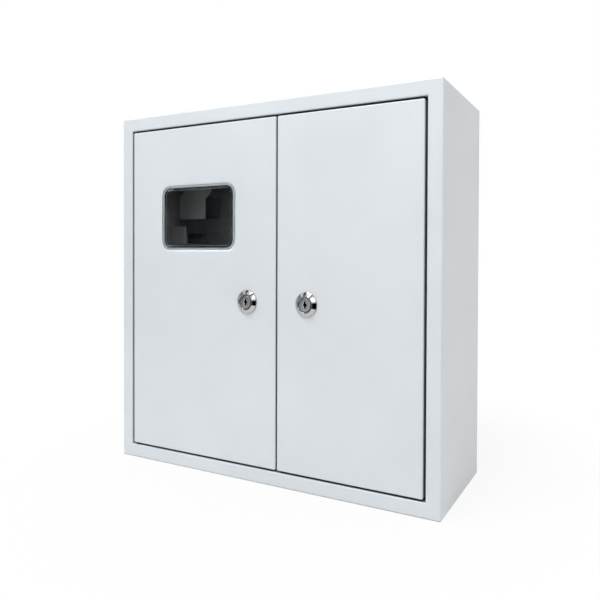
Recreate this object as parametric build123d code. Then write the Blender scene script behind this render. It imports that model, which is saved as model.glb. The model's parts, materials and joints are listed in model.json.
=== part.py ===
from build123d import *
import os

# Wall-mounted sheet-steel enclosure for an electricity meter and rows of circuit breakers
# Millimetres. +X is right and +Z up for someone facing the doors, which face -Y.
# The origin is the centre of the four wall holes, on the rear face at Y = 0.
# Depths are measured backwards from the front face of the frame and the doors.

# Cabinet
WIDTH = 480.0
HEIGHT = 480.0
DEPTH = 150.0
SHEET = 1.2
BEND_INSIDE = 0.5
BEND_OUTSIDE = BEND_INSIDE + SHEET
BOX_CORNER = 2.0
FRAME_FACE = 18.0
RETURN_DEPTH = 15.0
STOP_LIP = 10.0
FLAT_FLANGE = 12.0
TRAY_RIM = 12.0
WALL_HOLE_RADIUS = 4.0
WALL_HOLE_SPACING = 400.0
KNOCKOUT_RADIUS = 14.0
KNOCKOUT_RECESS = 0.5
KNOCKOUT_PLACES = (-150.0, -60.0, 130.0)
KNOCKOUT_DEPTH = 95.0

# Doors
DOOR_SPLIT = 25.0
DOOR_GAP = 2.0
HINGE_SIDE_GAP = 3.0
DOOR_END_GAP = 2.5
DOOR_PAN = 12.0
DOOR_CORNER = 2.2

# Hinges: the axis is vertical, just inside each outer door edge
HINGE_FROM_EDGE = 5.5
HINGE_DEPTH = 5.0
PIN_RADIUS = 2.0
PIN_HEAD_RADIUS = 3.2
PIN_HEAD = 1.6
PIN_SHOULDER_RADIUS = 3.6
PIN_END_CHAMFER = 0.6
BUSH_CLEARANCE = 0.05
BUSH_RADIUS = 3.0
BUSH_FLANGE_RADIUS = 4.3
BUSH_FLANGE = 0.8
SHOULDER_CLEARANCE = 0.2
BRACKET_SHEET = 1.5
BRACKET_LENGTH = 22.0
BRACKET_HEIGHT = 14.0
BRACKET_SIDE_GAP = 1.0
BRACKET_FRONT = SHEET + BEND_INSIDE
BRACKET_REAR = 11.0

# Cam locks
LOCK_HEIGHT = -11.5
LEFT_LOCK_X = -19.7
RIGHT_LOCK_X = 68.6
RING_RADIUS = 15.0
RING_EDGE = 0.8
RING_TOP_RADIUS = 10.3
RING_PROUD = 4.0
CORE_RADIUS = 9.3
CORE_STEP = 2.2
CORE_FACE_RADIUS = 7.9
CORE_PROUD = 3.7
BARREL_RADIUS = 9.0
BARREL_END = 16.0
PLUG_RADIUS = 6.0
PLUG_CLEARANCE = 0.05
PLUG_PROUD = 3.5
KEY_SLOT_HEIGHT = 9.4
KEY_SLOT_WIDTH = 1.9
KEY_SLOT_WARD = 3.1
KEY_SLOT_WARD_DROP = 0.4
KEY_SLOT_DEPTH = 9.0
LOCK_NUT_ACROSS = 22.0
LOCK_NUT = 4.5
CAM_FRONT = 17.5
CAM_SHEET = 2.0
CAM_WIDTH = 14.0
CAM_REACH = 34.0
CAM_SQUARE = 7.0
CAM_SCREW_RADIUS = 1.8
CAM_SCREW_LENGTH = 9.0

# Window in the left door
WINDOW_X = -100.8
WINDOW_Z = 97.8
WINDOW_FLANGE = (124.0, 87.0, 14.0)
WINDOW_CUTOUT = (118.0, 81.0, 11.0)
WINDOW_SKIRT = (114.8, 77.8, 9.4)
WINDOW_PROUD = 1.8
WINDOW_EDGE_ROUND = 0.8
SKIRT_WALL = 1.2
SKIRT_DEPTH = 8.0
TONGUE_HEIGHT = 18.6
TONGUE_PROUD = 3.2
TONGUE_FRONT = 1.4
TONGUE_REAR = 6.0
TONGUE_SLIT = 1.2

# Mullion, partition and door buffers
MULLION_WIDTH = 40.0
PARTITION_FOOT = 15.0
PASSAGE_HEIGHT = 60.0
PASSAGE_DEPTH = 60.0
PASSAGE_FRONT = 70.0
PASSAGE_ROUND = 8.0
PASSAGE_PLACES = (-170.0, 170.0)
BUFFER_RADIUS = 4.0
BUFFER_CLEARANCE = 0.3
BUFFER_OFFSET = 5.0
BUFFER_HEIGHTS = (-150.0, 150.0)

# Meter plate in the left bay
PLATE_X = (-219.0, 12.0)
PLATE_Z = (0.0, 205.0)
PLATE_MIDDLE = sum(PLATE_X) / 2
PLATE_FRONT = 90.0
PLATE_RIM = 10.0
TERMINAL_CUTOUT = ((-168.0, -141.0), (103.0, 135.0))
BRACKET_CUTOUT = ((-204.0, -168.5), (66.0, 80.0))
METER_SLOT_SPACING = (105.0, 160.0)
METER_SLOT = (24.0, 5.5)
SUPPORT_SHEET = 2.0
SUPPORT_OUTLINE = ((-219, 103), (-168, 103), (-168, 134), (-157, 146), (-157, 148), (-208, 148), (-219, 139))
PLATE_BRACKET_Z = (65.0, 92.0)
PLATE_BRACKET_REACH = (11.0, 17.0)
PLATE_BRACKET_REAR = 118.0

# Rails that devices clip to
RAIL_HEIGHT = 35.0
RAIL_CHANNEL = 25.0
RAIL_DEPTH = 7.5
RAIL_SHEET = 1.0
MODULE_RAIL_X = (39.0, 229.0)
MODULE_RAIL_FRONT = 78.5
MODULE_RAIL_HEIGHTS = {"upper_rail": 125.0, "middle_rail": 0.0, "lower_rail": -125.0}
MAIN_RAIL_X = (-215.0, 5.0)
MAIN_RAIL_Z = -75.0
MAIN_RAIL_SCREW_INSET = 20.0

# Uprights that carry the rails and the module cover
UPRIGHT_X = (42.0, 226.0)
UPRIGHT_FACE = 24.0
UPRIGHT_FOOT = 15.0
UPRIGHT_HALF_HEIGHT = 205.0

# Module cover in the right bay
COVER_X = (36.0, 232.0)
COVER_HALF_HEIGHT = 205.0
COVER_FRONT = 30.0
COVER_RIM = 12.0
MODULE_SLOT = (178.0, 45.0)
PILLAR_HEIGHT = 187.5

# Screws, spacers and studs
SPACER_ACROSS = 9.0
SCREW_RADIUS = 2.5
SCREW_HEAD_RADIUS = 4.7
SCREW_HEAD = 3.0
SCREW_BITE = 8.0
STUD_RADIUS = 3.0
STUD_LENGTH = 22.0
NUT_ACROSS = 10.0
NUT = 5.0
WASHER_RADIUS = 6.0
WASHER = 1.2
EARTH_STUD_PLACE = (-205.0, -150.0)
DOOR_STUD_FROM_EDGE = 30.0
DOOR_STUD_Z = -190.0
DOOR_STUD_LENGTH = 14.0

# Neutral and earth bars
BAR_X = (-180.0, -60.0)
BAR_HEIGHTS = {"neutral_bar": -150.0, "earth_bar": -195.0}
BAR_HEIGHT = 7.0
BAR_FRONT = 116.0
BAR_THICK = 9.0
BAR_WAYS = 6
BAR_WIRE_RADIUS = 2.4
BAR_SCREW_HEAD_RADIUS = 2.9
BAR_SCREW_HEAD = 2.0
INSULATOR_FOOT = (26.0, 4.0)
INSULATOR_POST = (10.0, 12.0)
INSULATOR_FROM_END = 6.0

# Places worked out from the driving sizes
HALF_W = WIDTH / 2
HALF_H = HEIGHT / 2
OPENING_X = HALF_W - FRAME_FACE
OPENING_Z = HALF_H - FRAME_FACE
DOOR_HALF_H = OPENING_Z - DOOR_END_GAP
LEFT_DOOR_X = (-OPENING_X + HINGE_SIDE_GAP, DOOR_SPLIT - DOOR_GAP / 2)
RIGHT_DOOR_X = (DOOR_SPLIT + DOOR_GAP / 2, OPENING_X - HINGE_SIDE_GAP)
LEFT_HINGE_X = LEFT_DOOR_X[0] + HINGE_FROM_EDGE
RIGHT_HINGE_X = RIGHT_DOOR_X[1] - HINGE_FROM_EDGE
LIP_REAR = RETURN_DEPTH + SHEET
TRAY_FRONT = DEPTH - SHEET
MAIN_RAIL_FRONT = PLATE_FRONT + SHEET - RAIL_DEPTH
UPRIGHT_FRONT = MODULE_RAIL_FRONT + RAIL_DEPTH
BARREL_HOLE_RADIUS = BARREL_RADIUS + BUSH_CLEARANCE


def at_depth(depth):
    """Y of a point at this depth behind the front face."""
    return depth - DEPTH


def block(x, depth, z):
    """Block between the two limits given along X, depth and Z."""
    centre = Pos((x[0] + x[1]) / 2, at_depth((depth[0] + depth[1]) / 2), (z[0] + z[1]) / 2)
    return centre * Box(x[1] - x[0], depth[1] - depth[0], z[1] - z[0])


def rod(x, z, radius, depth):
    """Cylinder along Y between two depths."""
    middle = Pos(x, at_depth((depth[0] + depth[1]) / 2), z)
    return middle * Rot(X=90) * Cylinder(radius, depth[1] - depth[0])


def upright_rod(x, depth, radius, z):
    """Cylinder along Z between two heights."""
    return Pos(x, at_depth(depth), (z[0] + z[1]) / 2) * Cylinder(radius, abs(z[1] - z[0]))


def turned(points, x, z):
    """Piece turned about an axis along Y, from points of radius and depth."""
    return Pos(x, at_depth(0), z) * revolve(make_face(Polyline(*points, close=True)), Axis.Y)


def facing_plane(x, depth, z):
    """Plane whose X is the cabinet's X and whose Y is down, so that it extrudes to the rear."""
    return Plane(origin=(x, at_depth(depth), z), x_dir=(1, 0, 0), z_dir=(0, 1, 0))


def plate(sketch, x, z, depth):
    """Flat sketch seen from the front, made a plate between two depths."""
    return extrude(facing_plane(x, depth[0], z) * sketch, amount=depth[1] - depth[0])


def hexagon(x, z, across, depth):
    """Hexagon bar along Y, across flats as given."""
    outline = RegularPolygon(across / 2, side_count=6, major_radius=False)
    return plate(outline, x, z, depth)


def folded_section(points, sheet=SHEET):
    """Section of a folded sheet: the points run along one skin, with the metal to their left."""
    skin = [Vector(*point) for point in points]
    normals = [Vector(a.Y - b.Y, b.X - a.X).normalized() for a, b in zip(skin, skin[1:])]
    before = normals[:1] + normals
    after = normals + normals[-1:]
    turns = [a.cross(b).Z for a, b in zip(before, after)]
    other = [p + (a + b) * (sheet / (1 + a.dot(b))) for p, a, b in zip(skin, before, after)]
    near = [bend_radius(turn, sheet) for turn in turns]
    far = [bend_radius(-turn, sheet) for turn in turns]
    outline = FilletPolyline(*skin, *reversed(other), radius=near + far[::-1], close=True)
    return make_face(outline)


def bend_radius(turn, sheet):
    """Radius of a skin at a fold: outside a turn to the left, inside a turn to the right."""
    if abs(turn) < BEND_INSIDE:
        return 0
    return BEND_INSIDE + sheet if turn > 0 else BEND_INSIDE


def rounded_pan(x, z, face, rim, inset, corner, radius):
    """Block with its four corners rounded, and then the edge round its closed face."""
    solid = block((x[0] + inset, x[1] - inset), sorted((face, rim)), (z[0] + inset, z[1] - inset))
    solid = fillet(solid.edges().filter_by(Axis.Y), corner - inset)
    closed_side = solid.faces().sort_by(Axis.Y)[0 if rim > face else -1]
    return fillet(closed_side.edges(), radius)


def folded_pan(x, z, face, rim, corner=BOX_CORNER):
    """Sheet pan: a flat at depth face, and walls folded from it to depth rim."""
    into = SHEET if rim > face else -SHEET
    outside = rounded_pan(x, z, face, rim, 0, corner, BEND_OUTSIDE)
    inside = rounded_pan(x, z, face + into, rim + into, SHEET, corner, BEND_INSIDE)
    return outside - inside


def door_frame():
    """Folded return and stop lip round the door opening, mitred at its four corners."""
    section = folded_section([
        (FLAT_FLANGE, 0),
        (FRAME_FACE, 0),
        (FRAME_FACE, RETURN_DEPTH),
        (FRAME_FACE + STOP_LIP, RETURN_DEPTH),
    ])
    start = Plane(origin=(HALF_W, at_depth(0), -HALF_H), x_dir=(0, 0, 1), z_dir=(-1, 0, 0))
    bar = extrude(start * section, amount=WIDTH)
    corners = Polyline((-HALF_W, HALF_H), (HALF_W, HALF_H), (0, 0), close=True)
    side = bar & plate(make_face(corners), 0, 0, (-SHEET, LIP_REAR + SHEET))
    return [Rot(Y=90 * quarter) * side for quarter in range(4)]


def cabinet_shell():
    """Walls, front frame, return and stop lip, folded and welded into one piece."""
    shell = folded_pan((-HALF_W, HALF_W), (-HALF_H, HALF_H), 0, DEPTH)
    clear_x = HALF_W - FLAT_FLANGE
    clear_z = HALF_H - FLAT_FLANGE
    shell -= block((-clear_x, clear_x), (-SHEET, 2 * SHEET), (-clear_z, clear_z))
    for side in door_frame():
        shell += side
    for end in (-1, 1):
        recess = (end * HALF_H, end * (HALF_H - KNOCKOUT_RECESS))
        for x in KNOCKOUT_PLACES:
            shell -= upright_rod(x, KNOCKOUT_DEPTH, KNOCKOUT_RADIUS, recess)
        for x in (LEFT_HINGE_X, RIGHT_HINGE_X):
            through = (end * (OPENING_Z - SHEET), end * (OPENING_Z + 2 * SHEET))
            shell -= upright_rod(x, HINGE_DEPTH, PIN_RADIUS, through)
    return shell


def back_panel():
    """Rear tray that closes the shell and carries everything inside, with four wall holes."""
    half_x = HALF_W - SHEET
    half_z = HALF_H - SHEET
    tray = folded_pan((-half_x, half_x), (-half_z, half_z), DEPTH, DEPTH - TRAY_RIM)
    for x in (-1, 1):
        for z in (-1, 1):
            place = (x * WALL_HOLE_SPACING / 2, z * WALL_HOLE_SPACING / 2)
            tray -= rod(*place, WALL_HOLE_RADIUS, (TRAY_FRONT - SHEET, DEPTH + SHEET))
    return tray


def mullion():
    """Fixed strip that both doors close onto."""
    lip_z = OPENING_Z - STOP_LIP
    half = MULLION_WIDTH / 2
    return block((DOOR_SPLIT - half, DOOR_SPLIT + half), (RETURN_DEPTH, LIP_REAR), (-lip_z, lip_z))


def partition():
    """Folded sheet between the two bays, with a foot on the back panel and two wire passages."""
    right = DOOR_SPLIT + SHEET / 2
    section = folded_section([
        (right, at_depth(LIP_REAR)),
        (right, at_depth(TRAY_FRONT - SHEET)),
        (right + PARTITION_FOOT, at_depth(TRAY_FRONT - SHEET)),
    ])
    half_z = HALF_H - 2 * SHEET - BEND_INSIDE
    sheet = Pos(Z=-half_z) * extrude(section, amount=2 * half_z)
    for z in PASSAGE_PLACES:
        outline = RectangleRounded(PASSAGE_DEPTH, PASSAGE_HEIGHT, PASSAGE_ROUND)
        middle = at_depth(PASSAGE_FRONT + PASSAGE_DEPTH / 2)
        across = Plane(origin=(DOOR_SPLIT, middle, z), x_dir=(0, 1, 0), z_dir=(1, 0, 0))
        sheet -= extrude(across * outline, amount=2 * SHEET, both=True)
    return sheet


def door_buffers():
    """Rubber buffers on the mullion, two behind each door."""
    front = DOOR_PAN + BUFFER_CLEARANCE
    places = [(DOOR_SPLIT + side * BUFFER_OFFSET, z) for side in (-1, 1) for z in BUFFER_HEIGHTS]
    return [rod(x, z, BUFFER_RADIUS, (front, RETURN_DEPTH)) for x, z in places]


def door(x_limits, hinge_x, lock_x):
    """Folded door pan with its lock hole and a bush hole in each end flange."""
    pan = folded_pan(x_limits, (-DOOR_HALF_H, DOOR_HALF_H), 0, DOOR_PAN, DOOR_CORNER)
    pan -= rod(lock_x, LOCK_HEIGHT, BARREL_HOLE_RADIUS, (-SHEET, 2 * SHEET))
    for end in (-1, 1):
        through = (end * (DOOR_HALF_H - 2 * SHEET), end * (DOOR_HALF_H + SHEET))
        pan -= upright_rod(hinge_x, HINGE_DEPTH, BUSH_RADIUS, through)
    return pan


def left_door():
    """Wider door, with the window cut out of it."""
    pan = door(LEFT_DOOR_X, LEFT_HINGE_X, LEFT_LOCK_X)
    return pan - plate(RectangleRounded(*WINDOW_CUTOUT), WINDOW_X, WINDOW_Z, (-SHEET, 2 * SHEET))


def hinge_pin(x, end):
    """Headed pin through the frame's return, with a shoulder that spaces the door from it."""
    outer = OPENING_Z + SHEET
    shoulder = DOOR_HALF_H + BUSH_FLANGE + SHOULDER_CLEARANCE
    tip = DOOR_HALF_H - SHEET - BRACKET_SHEET - PIN_RADIUS
    shaft = upright_rod(x, HINGE_DEPTH, PIN_RADIUS, (end * outer, end * tip))
    shaft = chamfer(shaft.edges().sort_by(Axis.Z)[0 if end > 0 else -1], PIN_END_CHAMFER)
    shaft += upright_rod(x, HINGE_DEPTH, PIN_HEAD_RADIUS, (end * outer, end * (outer + PIN_HEAD)))
    stop = (end * shoulder, end * OPENING_Z)
    return shaft + upright_rod(x, HINGE_DEPTH, PIN_SHOULDER_RADIUS, stop)


def hinge_bush(x, end):
    """Flanged nylon bush in the door's end flange and hinge bracket."""
    flange = (end * DOOR_HALF_H, end * (DOOR_HALF_H + BUSH_FLANGE))
    inner_end = DOOR_HALF_H - SHEET - BRACKET_SHEET - BUSH_FLANGE
    bush = upright_rod(x, HINGE_DEPTH, BUSH_FLANGE_RADIUS, flange)
    bush += upright_rod(x, HINGE_DEPTH, BUSH_RADIUS, (end * DOOR_HALF_H, end * inner_end))
    through = (end * (inner_end - SHEET), end * (DOOR_HALF_H + SHEET))
    return bush - upright_rod(x, HINGE_DEPTH, PIN_RADIUS + BUSH_CLEARANCE, through)


def hinge_bracket(hinge_x, edge_x, end):
    """Angle welded inside the door's corner, which doubles the metal that holds the bush."""
    inward = 1 if edge_x < 0 else -1
    base = DOOR_HALF_H - SHEET
    start = edge_x + inward * (SHEET + BRACKET_SIDE_GAP)
    turn = start + inward * BRACKET_LENGTH
    points = [(start, end * base), (turn, end * base), (turn, end * (base - BRACKET_HEIGHT))]
    if inward * end > 0:
        points.reverse()
    section = folded_section(points, BRACKET_SHEET)
    upright = Plane(origin=(0, at_depth(BRACKET_REAR), 0), x_dir=(1, 0, 0), z_dir=(0, -1, 0))
    angle = extrude(upright * section, amount=BRACKET_REAR - BRACKET_FRONT)
    return angle - upright_rod(hinge_x, HINGE_DEPTH, BUSH_RADIUS, (0, end * HALF_H))


def lock_ring(x):
    """Bright conical ring round the lock's head."""
    cone = turned([
        (CORE_RADIUS, 0),
        (RING_RADIUS, 0),
        (RING_RADIUS, -RING_EDGE),
        (RING_TOP_RADIUS, -RING_PROUD),
        (CORE_RADIUS, -RING_PROUD),
    ], x, LOCK_HEIGHT)
    return cone


def lock_body(x):
    """Fixed lock barrel, whose raised face leaves a groove inside the ring."""
    bore = PLUG_RADIUS + PLUG_CLEARANCE
    return turned([
        (bore, BARREL_END),
        (BARREL_RADIUS, BARREL_END),
        (BARREL_RADIUS, 0),
        (CORE_RADIUS, 0),
        (CORE_RADIUS, -CORE_STEP),
        (CORE_FACE_RADIUS, -CORE_STEP),
        (CORE_FACE_RADIUS, -CORE_PROUD),
        (bore, -CORE_PROUD),
    ], x, LOCK_HEIGHT)


def lock_plug(x):
    """Turning plug with a vertical key slot, and a square tail for the cam."""
    plug = rod(x, LOCK_HEIGHT, PLUG_RADIUS, (-PLUG_PROUD, CAM_FRONT))
    tail_end = CAM_FRONT + CAM_SHEET
    plug += plate(Rectangle(CAM_SQUARE, CAM_SQUARE), x, LOCK_HEIGHT, (CAM_FRONT, tail_end))
    slot_depth = (-PLUG_PROUD - SHEET, KEY_SLOT_DEPTH - PLUG_PROUD)
    ward = Pos(Y=KEY_SLOT_WARD_DROP) * Rot(Z=45) * Rectangle(KEY_SLOT_WARD, KEY_SLOT_WARD)
    outline = SlotOverall(KEY_SLOT_HEIGHT, KEY_SLOT_WIDTH, rotation=90) + ward
    slot = plate(outline, x, LOCK_HEIGHT, slot_depth)
    hole = rod(x, LOCK_HEIGHT, CAM_SCREW_RADIUS, (tail_end - CAM_SCREW_LENGTH, tail_end + SHEET))
    return plug - slot - hole


def lock_nut(x):
    """Thin hexagon nut that clamps the lock to the door."""
    nut = hexagon(x, LOCK_HEIGHT, LOCK_NUT_ACROSS, (SHEET, SHEET + LOCK_NUT))
    return nut - rod(x, LOCK_HEIGHT, BARREL_RADIUS, (0, 2 * LOCK_NUT))


def lock_cam(x):
    """Flat tongue on the plug's tail, which hangs down when unlocked."""
    eye = Circle(CAM_WIDTH / 2)
    arm_length = CAM_REACH - CAM_WIDTH / 2
    arm = Pos(Y=arm_length / 2) * Rectangle(CAM_WIDTH, arm_length)
    tip = Pos(Y=arm_length) * Circle(CAM_WIDTH / 2)
    outline = eye + arm + tip - Rectangle(CAM_SQUARE, CAM_SQUARE)
    return plate(outline, x, LOCK_HEIGHT, (CAM_FRONT, CAM_FRONT + CAM_SHEET))


def head_screw(x, z, seat, towards=1, bite=SCREW_BITE, radius=SCREW_RADIUS):
    """Screw with a plain cylinder head on depth seat, and its shank going towards the rear."""
    top = seat - towards * SCREW_HEAD
    end = seat + towards * bite
    return turned([
        (0, top),
        (SCREW_HEAD_RADIUS, top),
        (SCREW_HEAD_RADIUS, seat),
        (radius, seat),
        (radius, end),
        (0, end),
    ], x, z)


def cam_screw(x):
    """Screw that holds the cam on the plug's tail."""
    seat = CAM_FRONT + CAM_SHEET
    return head_screw(x, LOCK_HEIGHT, seat, towards=-1, bite=CAM_SCREW_LENGTH, radius=CAM_SCREW_RADIUS)


def window_insert():
    """Clear moulding: a pane and flange over the door, and a skirt with two snap tongues."""
    pane = plate(RectangleRounded(*WINDOW_FLANGE), WINDOW_X, WINDOW_Z, (-WINDOW_PROUD, 0))
    pane = fillet(pane.faces().sort_by(Axis.Y)[0].edges(), WINDOW_EDGE_ROUND)
    length, height, corner = WINDOW_SKIRT
    wall = 2 * SKIRT_WALL
    hollow = RectangleRounded(length - wall, height - wall, corner - SKIRT_WALL)
    skirt = plate(RectangleRounded(*WINDOW_SKIRT) - hollow, WINDOW_X, WINDOW_Z, (0, SKIRT_DEPTH))
    insert = pane + skirt
    for side in (-1, 1):
        outer = WINDOW_X + side * length / 2
        for end in (-1, 1):
            slit_z = WINDOW_Z + end * (TONGUE_HEIGHT + TONGUE_SLIT) / 2
            reach = sorted((outer + side, outer - side * wall))
            slit = (slit_z - TONGUE_SLIT / 2, slit_z + TONGUE_SLIT / 2)
            insert -= block(reach, (TONGUE_FRONT, SKIRT_DEPTH + SHEET), slit)
        hook = Polyline(
            (outer, at_depth(TONGUE_FRONT)),
            (outer + side * TONGUE_PROUD, at_depth(TONGUE_FRONT)),
            (outer, at_depth(TONGUE_REAR)),
            close=True,
        )
        lower = Pos(Z=WINDOW_Z - TONGUE_HEIGHT / 2)
        insert += lower * extrude(make_face(hook), amount=TONGUE_HEIGHT, dir=(0, 0, 1))
    return insert


def screw_places(x_limits, z_limits, inset):
    """The four corners of a plate, moved in by inset."""
    xs = (x_limits[0] + inset, x_limits[1] - inset)
    zs = (z_limits[0] + inset, z_limits[1] - inset)
    return [(x, z) for x in xs for z in zs]


PLATE_SCREWS = screw_places(PLATE_X, PLATE_Z, 2 * SPACER_ACROSS)
MAIN_RAIL_SCREWS = [
    (MAIN_RAIL_X[0] + MAIN_RAIL_SCREW_INSET, MAIN_RAIL_Z),
    (MAIN_RAIL_X[1] - MAIN_RAIL_SCREW_INSET, MAIN_RAIL_Z),
]
UPRIGHT_CENTRES = (UPRIGHT_X[0] + UPRIGHT_FACE / 2, UPRIGHT_X[1] - UPRIGHT_FACE / 2)
PILLAR_PLACES = [(x, z) for x in UPRIGHT_CENTRES for z in (-PILLAR_HEIGHT, PILLAR_HEIGHT)]


def mirrored(piece):
    """Mirror image of a piece about the upright through the meter plate's middle."""
    return mirror(piece, about=Plane.YZ.offset(PLATE_MIDDLE))


def meter_plate():
    """Shallow folded tray, with slots for a meter's screws and two pairs of cut-outs."""
    tray = folded_pan(PLATE_X, PLATE_Z, PLATE_FRONT, PLATE_FRONT + PLATE_RIM)
    through = (PLATE_FRONT - SHEET, PLATE_FRONT + 2 * SHEET)
    for x in (-1, 1):
        for z in (-1, 1):
            place = (WINDOW_X + x * METER_SLOT_SPACING[0] / 2, WINDOW_Z + z * METER_SLOT_SPACING[1] / 2)
            tray -= plate(SlotOverall(*METER_SLOT), *place, through)
    for x, z in (TERMINAL_CUTOUT, BRACKET_CUTOUT):
        hole = block(x, through, z)
        tray -= hole
        tray -= mirrored(hole)
    for x, z in PLATE_SCREWS:
        tray -= rod(x, z, SCREW_RADIUS, through)
    return tray


def meter_supports():
    """Two flat pads on the front of the meter plate, which a meter's flanks rest on."""
    outline = make_face(Polyline(*[(x, -z) for x, z in SUPPORT_OUTLINE], close=True))
    pad = plate(outline, 0, 0, (PLATE_FRONT - SUPPORT_SHEET, PLATE_FRONT))
    return [pad, mirrored(pad)]


def plate_brackets():
    """Two angles that steady the meter plate, from the side wall and from the partition."""
    front = at_depth(PLATE_FRONT - SHEET)
    rear = at_depth(PLATE_BRACKET_REAR)
    wall = SHEET - HALF_W
    web = DOOR_SPLIT - SHEET / 2
    left_reach, right_reach = PLATE_BRACKET_REACH
    sections = [
        [(wall, rear), (wall, front), (PLATE_X[0] + left_reach, front)],
        [(PLATE_X[1] - right_reach, front), (web, front), (web, rear)],
    ]
    low, high = PLATE_BRACKET_Z
    return [Pos(Z=low) * extrude(folded_section(points), amount=high - low) for points in sections]


def spacer(x, z, depth, tapped_front):
    """Hexagon spacer with a tapped hole in its front end."""
    post = hexagon(x, z, SPACER_ACROSS, depth)
    return post - rod(x, z, SCREW_RADIUS, (depth[0] - SHEET, tapped_front))


def left_bay_spacers():
    """Spacers that hold the meter plate and the main rail off the back panel."""
    front = PLATE_FRONT + SHEET
    tapped = PLATE_FRONT + SCREW_BITE
    return [spacer(x, z, (front, TRAY_FRONT), tapped) for x, z in PLATE_SCREWS + MAIN_RAIL_SCREWS]


def rail(x_limits, front, z, holes):
    """Top-hat mounting rail, 35 mm high, with a hole for each of its screws."""
    channel = RAIL_CHANNEL / 2
    base = RAIL_DEPTH - RAIL_SHEET
    lip = RAIL_HEIGHT / 2
    section = folded_section(
        [(-lip, 0), (-channel, 0), (-channel, base), (channel, base), (channel, 0), (lip, 0)],
        RAIL_SHEET,
    )
    start = Plane(origin=(x_limits[1], at_depth(front), z), x_dir=(0, 0, 1), z_dir=(-1, 0, 0))
    bar = extrude(start * section, amount=x_limits[1] - x_limits[0])
    for x in holes:
        bar -= rod(x, z, SCREW_RADIUS, (front, front + RAIL_DEPTH + SHEET))
    return bar


def rail_uprights():
    """Two folded uprights, each with a foot on the back panel and a face for the rails."""
    uprights = []
    for side, edge in ((1, UPRIGHT_X[0]), (-1, UPRIGHT_X[1])):
        front = at_depth(UPRIGHT_FRONT)
        foot = at_depth(TRAY_FRONT)
        web = edge + side * UPRIGHT_FACE
        toe = web + side * UPRIGHT_FOOT
        points = [(edge, front), (web, front), (web, foot - SHEET), (toe, foot - SHEET)]
        if side < 0:
            points.reverse()
        section = folded_section(points)
        post = Pos(Z=-UPRIGHT_HALF_HEIGHT) * extrude(section, amount=2 * UPRIGHT_HALF_HEIGHT)
        centre = edge + side * UPRIGHT_FACE / 2
        through = (UPRIGHT_FRONT - SHEET, UPRIGHT_FRONT + 2 * SHEET)
        for z in [*MODULE_RAIL_HEIGHTS.values()]:
            post -= rod(centre, z, SCREW_RADIUS, through)
        uprights.append(post)
    return uprights


def rail_screws():
    """Screws that hold the rails, two for each."""
    module_seat = MODULE_RAIL_FRONT + RAIL_DEPTH - RAIL_SHEET
    main_seat = MAIN_RAIL_FRONT + RAIL_DEPTH - RAIL_SHEET
    places = [(x, z) for z in MODULE_RAIL_HEIGHTS.values() for x in UPRIGHT_CENTRES]
    screws = [head_screw(x, z, module_seat) for x, z in places]
    bite = SCREW_BITE - RAIL_SHEET
    return screws + [head_screw(x, z, main_seat, bite=bite) for x, z in MAIN_RAIL_SCREWS]


def meter_plate_screws():
    """Screws that hold the meter plate on its spacers."""
    return [head_screw(x, z, PLATE_FRONT) for x, z in PLATE_SCREWS]


def module_cover():
    """Folded cover with a slot in front of each row of devices."""
    tray = folded_pan(COVER_X, (-COVER_HALF_HEIGHT, COVER_HALF_HEIGHT), COVER_FRONT, COVER_FRONT + COVER_RIM)
    through = (COVER_FRONT - SHEET, COVER_FRONT + 2 * SHEET)
    for z in MODULE_RAIL_HEIGHTS.values():
        tray -= plate(Rectangle(*MODULE_SLOT), sum(COVER_X) / 2, z, through)
    for x, z in PILLAR_PLACES:
        tray -= rod(x, z, SCREW_RADIUS, through)
    return tray


def cover_pillars():
    """Long spacers from the uprights to the module cover."""
    front = COVER_FRONT + SHEET
    return [spacer(x, z, (front, UPRIGHT_FRONT), COVER_FRONT + SCREW_BITE) for x, z in PILLAR_PLACES]


def cover_screws():
    """Screws that hold the module cover on its pillars."""
    return [head_screw(x, z, COVER_FRONT) for x, z in PILLAR_PLACES]


def bar_places():
    """X of each screw along a terminal bar."""
    pitch = (BAR_X[1] - BAR_X[0] - 4 * INSULATOR_FROM_END) / (BAR_WAYS - 1)
    return [BAR_X[0] + 2 * INSULATOR_FROM_END + pitch * way for way in range(BAR_WAYS)]


def terminal_bar(z):
    """Brass bar with a wire hole for each way."""
    half = BAR_HEIGHT / 2
    bar = block(BAR_X, (BAR_FRONT, BAR_FRONT + BAR_THICK), (z - half, z + half))
    middle = BAR_FRONT + BAR_THICK / 2
    for x in bar_places():
        bar -= upright_rod(x, middle, BAR_WIRE_RADIUS, (z - BAR_HEIGHT, z + BAR_HEIGHT))
    return bar


def bar_screws(z):
    """Heads of a terminal bar's clamp screws."""
    head = (BAR_FRONT - BAR_SCREW_HEAD, BAR_FRONT)
    return [rod(x, z, BAR_SCREW_HEAD_RADIUS, head) for x in bar_places()]


def bar_insulators(z):
    """Two moulded posts that hold a terminal bar clear of the back panel."""
    posts = []
    for x in (BAR_X[0] + INSULATOR_FROM_END, BAR_X[1] - INSULATOR_FROM_END):
        foot_length, foot_thick = INSULATOR_FOOT
        post_length, post_height = INSULATOR_POST
        foot = RectangleRounded(post_height, foot_length, post_height / 4)
        post = plate(foot, x, z, (TRAY_FRONT - foot_thick, TRAY_FRONT))
        body = RectangleRounded(post_length, post_height, post_height / 4)
        post += plate(body, x, z, (BAR_FRONT + BAR_THICK, TRAY_FRONT - foot_thick))
        posts.append(post)
    return posts


def stud(x, z, root, length):
    """Welded stud that stands forward of, or back from, a sheet."""
    return rod(x, z, STUD_RADIUS, sorted((root, root + length)))


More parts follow.
